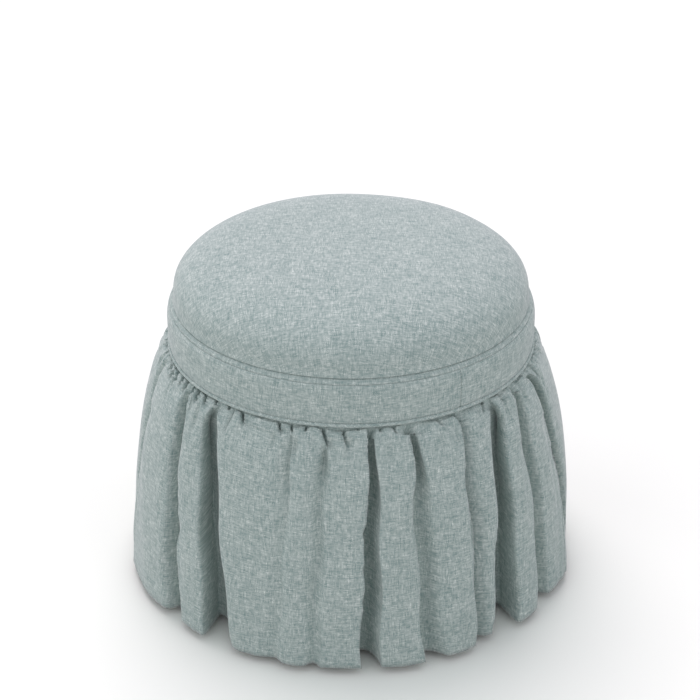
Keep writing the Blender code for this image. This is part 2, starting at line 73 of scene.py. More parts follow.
# Lid, above the rim plane
LID_BELLY = 12.4 * MM          # rim plane up to the lid's widest line
LID_TUCK = 6 * MM              # belly in to where the cover starts to turn under
LID_SPREAD = 1.2 * MM          # how far the lower edge stands out past the belly
LID_TURN = 1.5 * MM            # radius of the lower edge
LID_TURN_UNDER = 17 * MM       # cover turned under the board
DOME_POWER_OUT = 4.0           # higher is squarer at the shoulder
DOME_POWER_UP = 2.2

# Rolled rim and band
RIM_ROLL_WIDTH = 10.8 * MM
RIM_ROLL_DROP = 23 * MM
SEAM_DROP = 5.5 * MM           # rim plane down to the seam between facing and band
SEAM_DEPTH = 1.5 * MM
SEAM_SPREAD = 0.9 * MM         # distance over which a seam's groove dies away
WAIST_FALL = 14 * MM
WAIST_PULL = 1.55 * MM         # how far the band pulls in at the welt
BAND_JOIN = 34.0               # degrees: upright join of the band's cloth
JOIN_DEPTH = 1.6 * MM
JOIN_SPREAD = 0.8 * MM         # distance over which the join's groove dies away
FACING_TURN_IN = 25 * MM
WELT_RADIUS = 2.5 * MM
WELT_UNEVEN = 0.08 * MM

# Skirt
SKIRT_CLOTH = 1.5 * MM
SEAM_INSET = 2.6 * MM          # welt's centre line in to the skirt's seam
SEAM_FALL = 0.9 * MM           # lower edge of the welt down to the skirt's seam
DRUM_CLEARANCE = 0.5 * MM
FLOOR_CLEARANCE = 6 * MM
THROW_ANGLE = -25.0            # degrees below level as it leaves the welt: it rises first
THROW_LENGTH = 10 * MM         # length over which it turns down
FLARE = 54 * MM                # spread of the ridges from welt to hem
FLARE_DROP = 165 * MM          # fall over which the flare dies away
HOLLOW = 0.2                   # how far a deep valley widens behind its lips
CUT_ROW = 29                   # row of the hung shape that gives the width of the cut
FULLNESS = 1.42                # width of the cut cloth at the seam, in lengths of the seam
DRAWN_FRAMES = 5               # frames in which the cut cloth is drawn in to the seam
LET_GO_FRAMES = (6, 10)        # frames over which the firm hold on it gives way
SETTLE_FRAMES = 18
FIRM_HOLD = 3.0
SOFT_HOLD = 0.08
PANEL_HOLDS = (0.12, 0.3, 0.7)  # hold on the panels: near the welt, below it, further down
CLOTH_GRAVITY = 0.02
CLOTH_SETTINGS = {
    "quality": 5,
    "mass": 0.01,
    "tension_stiffness": 15,
    "compression_stiffness": 5,
    "shear_stiffness": 5,
    "bending_stiffness": 20,
}
HEM_FOLD = 28 * MM             # cloth turned up and stitched at the hem
SKIRT_COLUMNS = 900
MM_PER_DEGREE = 260 * math.pi / 180

# Long valleys seen in the photograph: degrees at the welt and at the hem, depth, width of
# the left and right flank, the lengths of cloth at which it starts and is full, in mm, how
# far its bottom leans to the right for each mm of depth, how square its bottom is, and the
# share of its depth that it loses further down
SEEN_VALLEYS = (
    (-76.0, -84.0, 22, 8, 7, 3, 45, 0.2, 2, 0.0),
    (-56.0, -50.0, 34, 10, 5, 2, 45, -0.2, 2.2, 0.0),
    (-43.0, -34.0, 60, 11, 11, 12, 46, -0.45, 4, 0.0),
    (-17.0, -19.3, 12, 10, 4, 6, 40, 0.4, 2, 0.3),
    (-7.5, -9.5, 12, 7, 7, 22, 60, 0.0, 2, 0.0),
    (5.8, 4.2, 52, 4.5, 7.5, 1, 32, -0.15, 2.5, 0.15),
    (17.4, 20.0, 44, 4, 7.5, 1, 28, -0.2, 2.5, 0.45),
    (33.2, 34.2, 36, 3, 8, 1, 26, -0.5, 2, 0.0),
    (44.4, 42.2, 60, 10, 10, 6, 44, 0.45, 4, 0.0),
    (55.5, 58.0, 34, 6, 8, 2, 45, 0.2, 2.2, 0.2),
    (66.0, 84.0, 36, 6, 8, 4, 40, 0.5, 2.2, 0.0),
)
HIDDEN_VALLEYS = 12

# Short soft valleys below the welt: degrees, depth, width, start, middle and end in mm
SHORT_VALLEYS = (
    (-66.0, 6, 6, 5, 25, 80),
    (-49.0, 7, 5, 5, 25, 90),
    (-22.0, 8, 6, 8, 28, 60),
    (-15.6, 10, 5, 10, 34, 70),
    (-7.2, 9, 5, 20, 44, 90),
    (-1.2, 5, 5, 16, 34, 70),
    (11.0, 5, 6, 16, 36, 80),
    (26.0, 5, 6, 10, 30, 70),
    (50.0, 8, 5, 6, 22, 60),
    (60.0, 9, 5, 5, 22, 60),
)

# Gathering notches seen at the welt: degrees, depth, width and length in mm, and the
# degrees that they slant to the right over their length
SEEN_NOTCHES = (
    (-72.0, 5, 2.0, 14, 1.0), (-69.0, 5, 2.0, 18, 1.0), (-66.0, 6, 2.2, 20, 0.5),
    (-62.5, 5, 2.0, 14, 1.0), (-59.0, 6, 2.2, 16, 0.5), (-55.5, 4, 2.0, 12, 1.0),
    (-52.5, 6, 2.2, 18, 1.0), (-49.2, 6, 2.2, 16, 1.5), (-44.5, 4, 2.0, 9, 1.0),
    (-38.8, 4, 2.0, 7, 0.5), (-33.8, 8, 2.0, 17, 1.6), (-27.0, 2, 1.8, 5, 0.0),
    (-21.4, 7, 1.9, 15, 1.2), (-17.3, 6, 1.8, 11, 0.2), (-12.8, 5, 1.8, 9, 0.0),
    (-8.0, 9, 2.1, 26, 1.7), (-2.0, 9, 2.0, 24, 1.1), (2.2, 3, 1.8, 6, 0.0),
    (4.9, 6, 1.9, 14, 0.2), (8.6, 4, 1.8, 8, 0.0), (12.6, 5, 1.9, 11, 0.4),
    (17.0, 7, 1.9, 14, 0.8), (25.6, 6, 2.2, 12, 1.2), (31.2, 6, 2.2, 12, 1.5),
    (43.4, 7, 2.1, 13, -1.5), (50.0, 7, 2.2, 15, 1.0), (55.6, 6, 2.0, 14, 0.2),
    (60.0, 7, 2.1, 15, 0.8), (64.5, 5, 2.0, 14, 1.0), (68.0, 5, 2.0, 12, 0.5),
    (71.5, 5, 2.0, 16, 0.8),
)
NOTCH_PITCH = 3.4              # degrees between the notches that the photograph doesn't show
NOTCH_DEPTH = 2.2              # depth of all notches, in depths of the table
PUFF_HEIGHT = 2.2              # millimetres that the cloth puffs out between notches
PUFF_LENGTH = 9                # millimetres below the welt at which it puffs out most

# Lamps: name, strength, spread in degrees, direction that they shine from, colour
LAMPS = (
    ("key", 1.62, 50, (-0.12, 0.6, 0.8), (1.0, 0.88, 0.94)),
    ("front_left", 0.4, 40, (-0.65, -0.6, 0.3), (1, 1, 1)),
    ("front_right", 0.4, 40, (0.65, -0.6, 0.3), (1, 1, 1)),
    ("left", 0.56, 50, (-0.9, 0.1, 0.25), (1, 1, 1)),
    ("right", 0.16, 50, (0.9, 0.0, 0.15), (1, 1, 1)),
)
SKY_COLOUR = (1.0, 1.0, 1.1, 1)
SKY_STRENGTH = 0.6


def radius_of(node):
    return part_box(node)[1].x


def top_of(node):
    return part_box(node)[1].z


def bottom_of(node):
    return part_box(node)[0].z


RIM_HEIGHT = top_of("rim_facing")
BAND_RADIUS = radius_of("band_cover")
BAND_BOTTOM = bottom_of("band_cover")
WELT_CENTRE = radius_of("welt") - WELT_RADIUS
WELT_BOTTOM = bottom_of("welt")
LID_RADIUS = radius_of("lid_cover")
LID_TOP = top_of("lid_cover")
HEM_HEIGHT = bottom_of("skirt")


# Materials

class Look:
    """A procedural material, built node by node."""

    def __init__(self, name):
        self.material = bpy.data.materials.new(name)
        self.material.use_nodes = True
        self.tree = self.material.node_tree
        self.shader = self.tree.nodes["Principled BSDF"]

    def put(self, socket, value):
        if isinstance(value, bpy.types.NodeSocket):
            self.tree.links.new(value, socket)
        else:
            socket.default_value = value

    def add(self, kind, inputs, **settings):
        made = self.tree.nodes.new(kind)
        for key, value in settings.items():
            setattr(made, key, value)
        for key, value in inputs.items():
            self.put(made.inputs[key], value)
        return made

    def math(self, operation, first, second=0.0):
        return self.add("ShaderNodeMath", {0: first, 1: second}, operation=operation).outputs[0]

    def position(self):
        return self.add("ShaderNodeTexCoord", {}).outputs["Object"]

    def cloth_place(self):
        """Place on the flat cloth, in metres across and along it."""
        return self.add("ShaderNodeUVMap", {}, uv_map="weave").outputs["UV"]

    def stretch(self, vector, scale):
        made = self.add("ShaderNodeVectorMath", {0: vector, 1: scale}, operation='MULTIPLY')
        return made.outputs[0]

    def split(self, vector):
        return self.add("ShaderNodeSeparateXYZ", {0: vector}).outputs

    def join(self, x, y, z=0.0):
        return self.add("ShaderNodeCombineXYZ", {0: x, 1: y, 2: z}).outputs[0]

    def noise(self, vector, scale, detail=2.0, roughness=0.5, distortion=0.0):
        inputs = {"Vector": vector, "Scale": scale, "Detail": detail}
        inputs["Roughness"] = roughness
        inputs["Distortion"] = distortion
        return self.add("ShaderNodeTexNoise", inputs).outputs["Fac"]

    def spread(self, value, low, high, new_low=0.0, new_high=1.0):
        inputs = {0: value, 1: low, 2: high, 3: new_low, 4: new_high}
        return self.add("ShaderNodeMapRange", inputs).outputs[0]

    def blend(self, factor, first, second):
        made = self.add("ShaderNodeMix", {0: factor}, data_type='RGBA')
        self.put(made.inputs[6], first if not isinstance(first, tuple) else (*first, 1))
        self.put(made.inputs[7], second if not isinstance(second, tuple) else (*second, 1))
        return made.outputs[2]

    def bump(self, height, distance, strength):
        inputs = {"Height": height, "Distance": distance, "Strength": strength}
        return self.add("ShaderNodeBump", inputs).outputs[0]

    def surface(self, colour, roughness, normal, **constants):
        self.put(self.shader.inputs["Base Color"], colour)
        self.put(self.shader.inputs["Roughness"], roughness)
        self.put(self.shader.inputs["Normal"], normal)
        for key, value in constants.items():
            self.shader.inputs[key.replace("_", " ")].default_value = value
        return self.material


def woven(name, dark, light, pitch, contrast, cloud):
    """Plain weave of slubby threads, each with its own tone along its length."""
    look = Look(name)
    place = look.cloth_place()
    wander = look.noise(look.stretch(place, (WANDER_SCALE, WANDER_SCALE, 0)), 1.0, 1.0)
    shifted = look.add("ShaderNodeVectorMath", {0: place, 1: look.join(
        look.math('MULTIPLY', wander, WANDER), look.math('MULTIPLY', wander, -WANDER))})
    across, along, _ = look.split(shifted.outputs[0])
    warp = look.math('FLOOR', look.math('DIVIDE', across, pitch))
    weft = look.math('FLOOR', look.math('DIVIDE', along, pitch))
    slub = SLUB / pitch
    warp_place = look.join(look.math('MULTIPLY', warp, THREAD_STEP),
                           look.math('MULTIPLY', along, slub))
    warp_tone = look.noise(warp_place, 1.0, 2.0, 0.7)
    weft_place = look.join(look.math('MULTIPLY', across, slub),
                           look.math('MULTIPLY', weft, THREAD_STEP), WEFT_PLACE)
    weft_tone = look.noise(weft_place, 1.0, 2.0, 0.7)
    over = look.math('PINGPONG', look.math('ADD', warp, weft), 1.0)
    share = look.spread(over, 0.0, 1.0, 0.3, 0.7)
    tone = look.add("ShaderNodeMix", {0: share, 2: warp_tone, 3: weft_tone}).outputs[0]
    drift = look.noise(look.stretch(place, (cloud, cloud, 0)), 1.0, 3.0)
    drift = look.math('MULTIPLY', look.math('SUBTRACT', drift, 0.5), TONE_DRIFT)
    tone = look.math('ADD', tone, drift)
    lightness = look.spread(tone, 0.5 - contrast, 0.5 + contrast)
    colour = look.blend(look.math('POWER', lightness, LIGHT_POWER), dark, light)
    ridge_across = look.math('PINGPONG', look.math('DIVIDE', across, pitch), 0.5)
    ridge_along = look.math('PINGPONG', look.math('DIVIDE', along, pitch), 0.5)
    height = look.math('ADD', look.math('MULTIPLY', ridge_across, ridge_along), tone)
    normal = look.bump(height, THREAD_HEIGHT, 0.35)
    roughness = look.spread(tone, 0.2, 0.8, 0.98, 0.84)
    return look, colour, roughness, normal


def linen():
    """Heathered grey-green linen of the cover."""
    look, colour, roughness, normal = woven(
        "linen", (0.185, 0.27, 0.255), (0.73, 0.785, 0.73), 1.25 * MM, 0.24, 18)
    return look.surface(colour, roughness, normal, Sheen_Weight=0.34, Sheen_Roughness=0.4,
                        Specular_IOR_Level=0.25)


def lining_cotton():
    look, colour, roughness, normal = woven(
        "lining_cotton", (0.52, 0.49, 0.43), (0.70, 0.67, 0.60), 0.6 * MM, 0.3, 9)
    return look.surface(colour, roughness, normal, Specular_IOR_Level=0.25)


def dust_cloth():
    """Black non-woven cloth, pressed from short fibres."""
    look = Look("dust_cloth")
    place = look.position()
    fibres = look.noise(place, 900, 3.0, 0.7, 1.5)
    dimples = look.add("ShaderNodeTexVoronoi", {"Vector": place, "Scale": 420.0}).outputs[0]
    colour = look.blend(fibres, (0.008, 0.008, 0.009), (0.045, 0.045, 0.047))
    height = look.math('ADD', fibres, look.math('MULTIPLY', dimples, 0.8))
    normal = look.bump(height, 0.3 * MM, 0.5)
    return look.surface(colour, look.spread(fibres, 0.3, 0.7, 0.75, 0.95), normal)


def wood(name, dark, light, grain, ring_scale, gloss):
    """Wood with its grain along one axis; grain holds the stretch of each axis."""
    look = Look(name)
    place = look.stretch(look.position(), grain)
    rings = look.noise(place, ring_scale, 3.0, 0.55, 1.2)
    pores = look.noise(look.stretch(place, (6, 6, 6)), ring_scale * 4, 2.0, 0.6)
    figure = look.math('ADD', look.math('MULTIPLY', rings, 0.7), look.math('MULTIPLY', pores, 0.3))
    colour = look.blend(look.spread(figure, 0.32, 0.68), dark, light)
    normal = look.bump(figure, 0.4 * MM, 0.3)
    roughness = look.spread(pores, 0.3, 0.7, gloss + 0.12, gloss - 0.05)
    return look, look.surface(colour, roughness, normal)


def plywood(name, edge_axis):
    """Birch plywood: faces with long grain, edges with the stripes of the plies."""
    look, material = wood(name, (0.46, 0.31, 0.17), (0.70, 0.53, 0.33), (6, 1.0, 1.0), 14, 0.6)
    face_colour = look.shader.inputs["Base Color"].links[0].from_socket
    place = look.split(look.position())
    if edge_axis == "height":
        depth = place[2]
    else:
        squares = [look.math('POWER', place[k], 2.0) for k in (0, 1)]
        depth = look.math('SQRT', look.math('ADD', *squares))
    plies = look.math('PINGPONG', look.math('DIVIDE', depth, 1.5 * MM), 1.0)
    stripes = look.blend(look.spread(plies, 0.35, 0.65), (0.33, 0.20, 0.10), (0.68, 0.51, 0.32))
    facing = look.add("ShaderNodeNewGeometry", {}).outputs["Normal"]
    upright = look.math('ABSOLUTE', look.split(facing)[2])
    turn_over = (0.6, 0.4) if edge_axis == "height" else (0.4, 0.6)
    on_edge = look.spread(upright, *turn_over)
    look.put(look.shader.inputs["Base Color"], look.blend(on_edge, face_colour, stripes))
    return material


def zinc_steel():
    look = Look("zinc_steel")
    place = look.position()
    spangle = look.add("ShaderNodeTexVoronoi", {"Vector": place, "Scale": 700.0}).outputs["Color"]
    patches = look.split(spangle)[0]
    scuffs = look.noise(place, 900, 3.0, 0.65)
    colour = look.blend(patches, (0.52, 0.52, 0.50), (0.68, 0.67, 0.64))
    normal = look.bump(scuffs, 0.1 * MM, 0.25)
    return look.surface(colour, look.spread(scuffs, 0.3, 0.7, 0.28, 0.48), normal, Metallic=1.0)


def nylon():
    look = Look("nylon")
    place = look.position()
    scuffs = look.noise(place, 500, 4.0, 0.7)
    colour = look.blend(scuffs, (0.018, 0.018, 0.019), (0.05, 0.05, 0.052))
    normal = look.bump(scuffs, 0.15 * MM, 0.35)
    return look.surface(colour, look.spread(scuffs, 0.3, 0.7, 0.42, 0.68), normal)


# Meshes

def travelled(profile):
    """Length along a profile at each of its points."""
    steps = np.hypot(*np.diff(profile, axis=0).T)
    return np.concatenate([[0], np.cumsum(steps)])


def resample(curve, lengths):
    """Points of a dense polyline at the given lengths along it."""
    along = travelled(curve)
    return np.stack([np.interp(lengths, along, column) for column in curve.T], axis=1)


def length_of(curve):
    return np.hypot(*np.diff(curve, axis=0).T).sum()


def even(curve, spacing):
    total = length_of(curve)
    return resample(curve, np.linspace(0, total, max(2, round(total / spacing) + 1)))


def profile_normals(profile):
    """Unit normals to the left of a profile's direction turned outwards."""
    along = np.gradient(profile, axis=0)
    along /= np.linalg.norm(along, axis=1, keepdims=True)
    return np.stack([-along[:, 1], along[:, 0]], axis=1)


def round_axis(degrees, radius, height):
    """Points round the axis; degrees from the front to the right."""
    angle = np.radians(degrees)
    parts = np.broadcast_arrays(radius * np.sin(angle), -radius * np.cos(angle), height)
    return np.stack(parts, axis=-1)


def grid_faces(numbers, weave):
    """Faces of a grid of vertex numbers, with the cloth place of each corner."""
    faces, places = [], []
    for i in range(numbers.shape[0] - 1):
        for j in range(numbers.shape[1] - 1):
            spots = [(i, j), (i + 1, j), (i + 1, j + 1), (i, j + 1)]
            corners = [int(numbers[spot]) for spot in spots]
            kept = [k for k in range(4) if corners[k] != corners[k - 1]]
            faces.append([corners[k] for k in kept])
            places.extend(weave[spots[k]] for k in kept)
    return faces, places


def grid_mesh(name, points, weave, loop=False):
    """Mesh of a grid closed round the axis; loop also joins its last row to its first.

    weave has one column more than points, and one row more if loop is set. A first or
    last row that lies on the axis becomes one vertex.
    """
    rows, columns = points.shape[:2]
    numbers = np.arange(rows * columns).reshape(rows, columns)
    for row in (0, -1):
        if np.ptp(points[row], axis=0).max() < 1e-7:
            numbers[row] = numbers[row, 0]
    used, compact = np.unique(numbers, return_inverse=True)
    numbers = compact.reshape(rows, columns)
    numbers = np.concatenate([numbers, numbers[:, :1]], axis=1)
    if loop:
        numbers = np.concatenate([numbers, numbers[:1]], axis=0)
    faces, places = grid_faces(numbers, weave)
    mesh = bpy.data.meshes.new(name)
    mesh.from_pydata(points.reshape(-1, 3)[used].tolist(), [], faces)
    layer = mesh.uv_layers.new(name="weave")
    layer.data.foreach_set("uv", np.array(places, dtype=np.float32).ravel())
    mesh.shade_smooth()
    return mesh


def ring_degrees(columns):
    """Angles round the axis, starting at the back."""
    return np.arange(columns) * 360 / columns - 180


def wrapped_weave(degrees, radius, lengths):
    """Cloth places of a strip that goes once round the axis."""
    across = np.radians(np.append(degrees, degrees[0] + 360)) * radius
    return np.stack(np.meshgrid(across, lengths), axis=-1)


def add_piece(name, mesh, material, body):
    piece = bpy.data.objects.new(name, mesh)
    mesh.materials.append(material)
    bpy.context.scene.collection.objects.link(piece)
    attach(piece, body)
    return piece


def thicken(piece, thickness):
    solid = piece.modifiers.new("Thickness", 'SOLIDIFY')
    solid.thickness = thickness
    solid.offset = -1


# Lid

def dome_curve():
    share = np.sin(np.linspace(0, math.pi / 2, 4000))
    rise = (1 - share ** DOME_POWER_OUT) ** (1 / DOME_POWER_UP)
    belly = RIM_HEIGHT + LID_BELLY
    return np.stack([LID_RADIUS * share, belly + (LID_TOP - belly) * rise], axis=1)


def lid_wall():
    """Lower wall of the lid, spreading a little towards the rim, and its tight lower edge."""
    share = np.linspace(0, 1, 5)
    foot = RIM_HEIGHT + GAP + LID_TURN
    wall = np.stack([LID_RADIUS + LID_SPREAD * share ** 2,
                     RIM_HEIGHT + LID_BELLY + (foot - RIM_HEIGHT - LID_BELLY) * share], axis=1)
    turn = np.linspace(0, math.pi / 2, 7)[1:]
    edge = np.stack([LID_RADIUS + LID_SPREAD - LID_TURN * (1 - np.cos(turn)),
                     foot - LID_TURN * np.sin(turn)], axis=1)
    return np.concatenate([wall, edge])


def make_lid_cushion(cloth):
    """Closed crowned cushion: dome, lower roll, edge turned under, recess for the lining."""
    columns = 240
    shown = np.concatenate([even(dome_curve(), 3.2 * MM), lid_wall()[1:]])
    recess = LID_RADIUS - LID_TUCK - LID_TURN_UNDER
    bottom = RIM_HEIGHT + GAP
    inside = bottom + CLOTH + GAP / 2
    under = np.array([(recess + 8 * MM, bottom), (recess, bottom), (recess, inside), (0, inside)])
    profile = np.concatenate([shown, under])
    degrees = ring_degrees(columns)
    points = round_axis(degrees[None, :], profile[:, :1], profile[:, 1:])
    soften_dome(points, profile)
    lengths = travelled(profile)[:, None]
    closed = np.radians(np.append(degrees, degrees[0] + 360))[None, :]
    weave = np.stack([lengths * np.sin(closed), -lengths * np.cos(closed)], axis=-1)
    mesh = grid_mesh("lid_cushion", points, weave)
    cushion = add_piece("lid_cushion", mesh, cloth, "lid")
    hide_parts("lid_cover", "lid_batting", "lid_foam")


def soften_dome(points, profile):
    """Shallow unevenness of hand-laid padding under the cover, none at the lower edge."""
    x, y = points[..., 0], points[..., 1]
    uneven = np.sin(21 * x + 1.3) * np.cos(17 * y + 0.4) + 0.6 * np.sin(34 * x - 27 * y + 2.0)
    above = np.clip((profile[:, 1:] - RIM_HEIGHT - LID_BELLY) / (20 * MM), 0, 1)
    points[..., 2] += 0.5 * MM * uneven * above - 0.6 * MM * above


# Rim facing, band and welt

def rim_roll(start, end, count):
    turn = np.linspace(start, end, count)
    radius = BAND_RADIUS - RIM_ROLL_WIDTH * (1 - np.sin(turn))
    return np.stack([radius, RIM_HEIGHT - RIM_ROLL_DROP * (1 - np.cos(turn))], axis=1)


SEAM_ANGLE = math.acos(1 - SEAM_DROP / RIM_ROLL_DROP)


def sunk(profile, distance, depth=SEAM_DEPTH, spread=SEAM_SPREAD):
    """Profile drawn in along its normals near a seam; distance is measured from the seam."""
    return profile - profile_normals(profile) * (depth * np.exp(-distance / spread))[:, None]


def make_rim_facing(cloth):
    """Cloth from inside the opening, over the rim, out to the stitched seam."""
    inner = radius_of("lining_wall") + GAP
    corner = 2 * MM
    turn = np.linspace(0, math.pi / 2, 12)
    edge = np.stack([inner + corner * (1 - np.cos(turn)),
                     RIM_HEIGHT - corner * (1 - np.sin(turn))], axis=1)
    leg = np.array([(inner, RIM_HEIGHT - FACING_TURN_IN)])
    curve = np.concatenate([leg, edge, rim_roll(0, SEAM_ANGLE, 60)])
    total = length_of(curve)
    near = np.array([3, 2.2, 1.6, 1.1, 0.75, 0.45, 0.2, 0]) * MM
    lengths = np.concatenate([np.arange(0, total - near[0], 2.2 * MM), total - near])
    profile = sunk(resample(curve, lengths), total - lengths)
    degrees = ring_degrees(300)
    points = round_axis(degrees[None, :], profile[:, :1], profile[:, 1:])
    mesh = grid_mesh("rim_facing_cloth", points, wrapped_weave(degrees, BAND_RADIUS, lengths))
    facing = add_piece("rim_facing_cloth", mesh, cloth, "base")
    thicken(facing, CLOTH)
    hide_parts("rim_facing")


def band_curve():
    """Outer face of the band from the seam down to its rounded lower edge."""
    roll = rim_roll(SEAM_ANGLE, math.pi / 2, 80)
    share = np.linspace(0, 1, 30)
    waist = np.stack([BAND_RADIUS - WAIST_PULL * share ** 2,
                      BAND_BOTTOM + WAIST_FALL * (1 - share)], axis=1)
    return np.concatenate([roll, waist])


def band_degrees():
    """Columns round the band, close together at its upright join."""
    steps = np.array([0.15, 0.35, 0.6, 1.0, 1.6, 2.4, 3.6]) / 4.15
    near = BAND_JOIN + np.concatenate([-steps[::-1], [0], steps])
    rest = ring_degrees(300)
    return np.sort(np.concatenate([rest[np.abs(rest - BAND_JOIN) > 1.2], near]))


def make_band(cloth):
    """Padded band: a closed ring with a groove at its seam and at its upright join."""
    curve = band_curve()
    total = length_of(curve)
    near = np.array([0, 0.2, 0.45, 0.75, 1.1, 1.6, 2.2, 3]) * MM
    lengths = np.concatenate([near, np.arange(5 * MM, total, 3 * MM), [total]])
    outer = sunk(resample(curve, lengths), lengths)
    behind = WELT_CENTRE - 1.2 * MM
    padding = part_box("band_padding")
    pad_inner = radius_of("drum_shell") + GAP
    hidden = np.array([(behind, BAND_BOTTOM - 0.2 * MM), (behind, padding[0].z),
                       (pad_inner, padding[0].z), (pad_inner, padding[1].z - 2 * MM)])
    profile = np.concatenate([outer, hidden])
    degrees = band_degrees()
    radius = np.repeat(profile[:, :1], len(degrees), axis=1)
    aside = np.abs(degrees - BAND_JOIN) * BAND_RADIUS * math.pi / 180
    shown = (np.arange(len(profile)) < len(outer))[:, None]
    radius = radius - shown * JOIN_DEPTH * np.exp(-aside / JOIN_SPREAD)[None, :]
    points = round_axis(degrees[None, :], radius, profile[:, 1:])
    rows = np.append(travelled(profile), 0)
    weave = wrapped_weave(degrees, BAND_RADIUS, rows)
    mesh = grid_mesh("band_upholstery", points, weave, loop=True)
    band = add_piece("band_upholstery", mesh, cloth, "base")
    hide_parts("band_cover", "band_padding")


def make_welt(cloth):
    """Covered piping, with the slight unevenness of bias cloth over a cord."""
    degrees = ring_degrees(480)
    turn = np.linspace(0, -2 * math.pi, 14, endpoint=False)[:, None]
    angle = np.radians(degrees)[None, :]
    uneven = np.sin(150 * angle + 2 * turn) + 0.6 * np.sin(61 * angle - turn + 1)
    thick = WELT_RADIUS + WELT_UNEVEN * uneven
    points = round_axis(degrees[None, :], WELT_CENTRE + thick * np.cos(turn),
                        WELT_BOTTOM + WELT_RADIUS + thick * np.sin(turn))
    rows = np.linspace(0, 2 * math.pi * WELT_RADIUS, 15)
    weave = wrapped_weave(degrees, WELT_CENTRE, rows)
    bias = np.stack([weave[..., 0] + weave[..., 1], weave[..., 0] - weave[..., 1]], axis=-1)
    mesh = grid_mesh("welt_piping", points, bias * math.sqrt(0.5), loop=True)
    welt = add_piece("welt_piping", mesh, cloth, "base")
    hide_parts("welt")


# Skirt

def ridge_path():
    """Path of the skirt's ridges from the welt to the hem: length, radius, height, slope."""
    step = 0.25 * MM
    full = WELT_BOTTOM - HEM_HEIGHT
    spread = FLARE / FLARE_DROP / (1 - math.exp(-full / FLARE_DROP))
    length, radius, height = 0.0, WELT_CENTRE - SEAM_INSET, WELT_BOTTOM - SEAM_FALL
    path = []
    while height > HEM_HEIGHT:
        fall = WELT_BOTTOM - height
        wall = math.atan2(1, spread * math.exp(-max(fall, 0) / FLARE_DROP))
        start = math.radians(THROW_ANGLE)
        slope = wall - (wall - start) * math.exp(-length / THROW_LENGTH)
        path.append((length, radius, height, slope))
        length += step
        radius += step * math.cos(slope)
        height -= step * math.sin(slope)
    return np.array(path)


def all_valleys():
    """Long valleys all round: those of the photograph, and even ones round the back."""
    valleys = list(SEEN_VALLEYS)
    first = SEEN_VALLEYS[-1][1] + 14
    last = 360 + SEEN_VALLEYS[0][1] - 14
    for i in range(HIDDEN_VALLEYS):
        degrees = first + (last - first) * i / (HIDDEN_VALLEYS - 1)
        sway = 2.5 * math.sin(2.1 * i) if 0 < i < HIDDEN_VALLEYS - 1 else 0
        depth = 21 + 7 * math.sin(1.3 * i + 0.5)
        lean = math.sin(1.7 * i + 0.8)
        valleys.append((degrees + sway, degrees - 0.5 * sway, depth, 8 + 2 * lean, 8 - 2 * lean,
                        6 + 4 * math.sin(2.9 * i), 50, 0.25 * lean, 2.5, 0.0))
    return valleys


def all_notches():
    """Gathering notches all round the welt."""
    rng = np.random.RandomState(11)
    notches = list(SEEN_NOTCHES)
    degrees = SEEN_NOTCHES[-1][0] + NOTCH_PITCH
    while degrees < 360 + SEEN_NOTCHES[0][0] - NOTCH_PITCH / 2:
        notches.append((degrees, rng.uniform(2, 8), rng.uniform(1.8, 2.2), rng.uniform(6, 20),
                        rng.uniform(-1.2, 1.6)))
        degrees += NOTCH_PITCH * rng.uniform(0.65, 1.35)
    return notches


def aside_from(degrees, centre):
    """Distance in millimetres to the right of an angle, taken the short way round."""
    return ((degrees - centre + 180) % 360 - 180) * MM_PER_DEGREE


def smooth_step(value, start, end):
    share = np.clip((value - start) / (end - start), 0, 1)
    return share * share * (3 - 2 * share)


def valley_field(degrees, length):
    """Depth of the valleys and shift of the cloth to the right, in mm, at lengths in mm."""
    hem = length.max()
    depth = np.zeros(np.broadcast_shapes(degrees.shape, length.shape))
    shift = np.zeros_like(depth)
    for top, low, most, left, right, start, full, lean, square, lost in all_valleys():
        line = top + (low - top) * length / hem + 0.4 * np.sin(length / 21 + 1.7 * top)
        aside = aside_from(degrees, line)
        faded = lost * smooth_step(length, 45, 120)
        deep = most * (1 - faded)
        reach = np.clip((length - start) / (full - start), 0, 1) ** 0.7
        grown = (0.35 + 0.65 * reach) * (0.8 + 0.5 * length / hem) * (1 + faded)
        width = np.where(aside < 0, left, right) * grown
        fold = np.exp(-np.abs(aside / width) ** square)
        fold = fold + 0.12 * np.exp(-(aside / (3 * width)) ** 2)
        valley = deep * reach * fold
        depth += valley
        shift += lean * valley
        if 2.2 < square < 3:
            place = aside / width
            hollow = place * np.exp(-place ** 2)
            lips = place * np.exp(-((np.abs(place) - 1.7) / 0.5) ** 2)
            shift += HOLLOW * deep * reach * (hollow - 0.3 * lips)
    for centre, deep, width, start, middle, end in SHORT_VALLEYS:
        reach = smooth_step(length, start, middle) * (1 - smooth_step(length, middle, end))
        depth += deep * reach * np.exp(-(aside_from(degrees, centre) / width) ** 2)
    return depth, shift


def notch_field(degrees, length):
    """Depth of the gathering notches, the puffs between them below zero, and the shift."""
    shape = np.broadcast_shapes(degrees.shape, length.shape)
    depth, near, shift = np.zeros(shape), np.zeros(shape), np.zeros(shape)
    for centre, deep, width, long, slant in all_notches():
        line = centre + slant * np.clip(length / long, 0, 1.5)
        aside = aside_from(degrees, line) / (1.15 * width)
        reach = smooth_step(length, 0, 3) * (1 - smooth_step(length, 0.9 * long, 1.6 * long))
        notch = NOTCH_DEPTH * deep * reach * np.exp(-aside ** 2)
        depth += notch
        shift -= 0.25 * notch
        near += np.exp(-(aside / 2.2) ** 2)
    puff = (length / PUFF_LENGTH) * np.exp(1 - length / PUFF_LENGTH)
    return depth - PUFF_HEIGHT * puff * (1 - np.clip(near, 0, 1)), shift


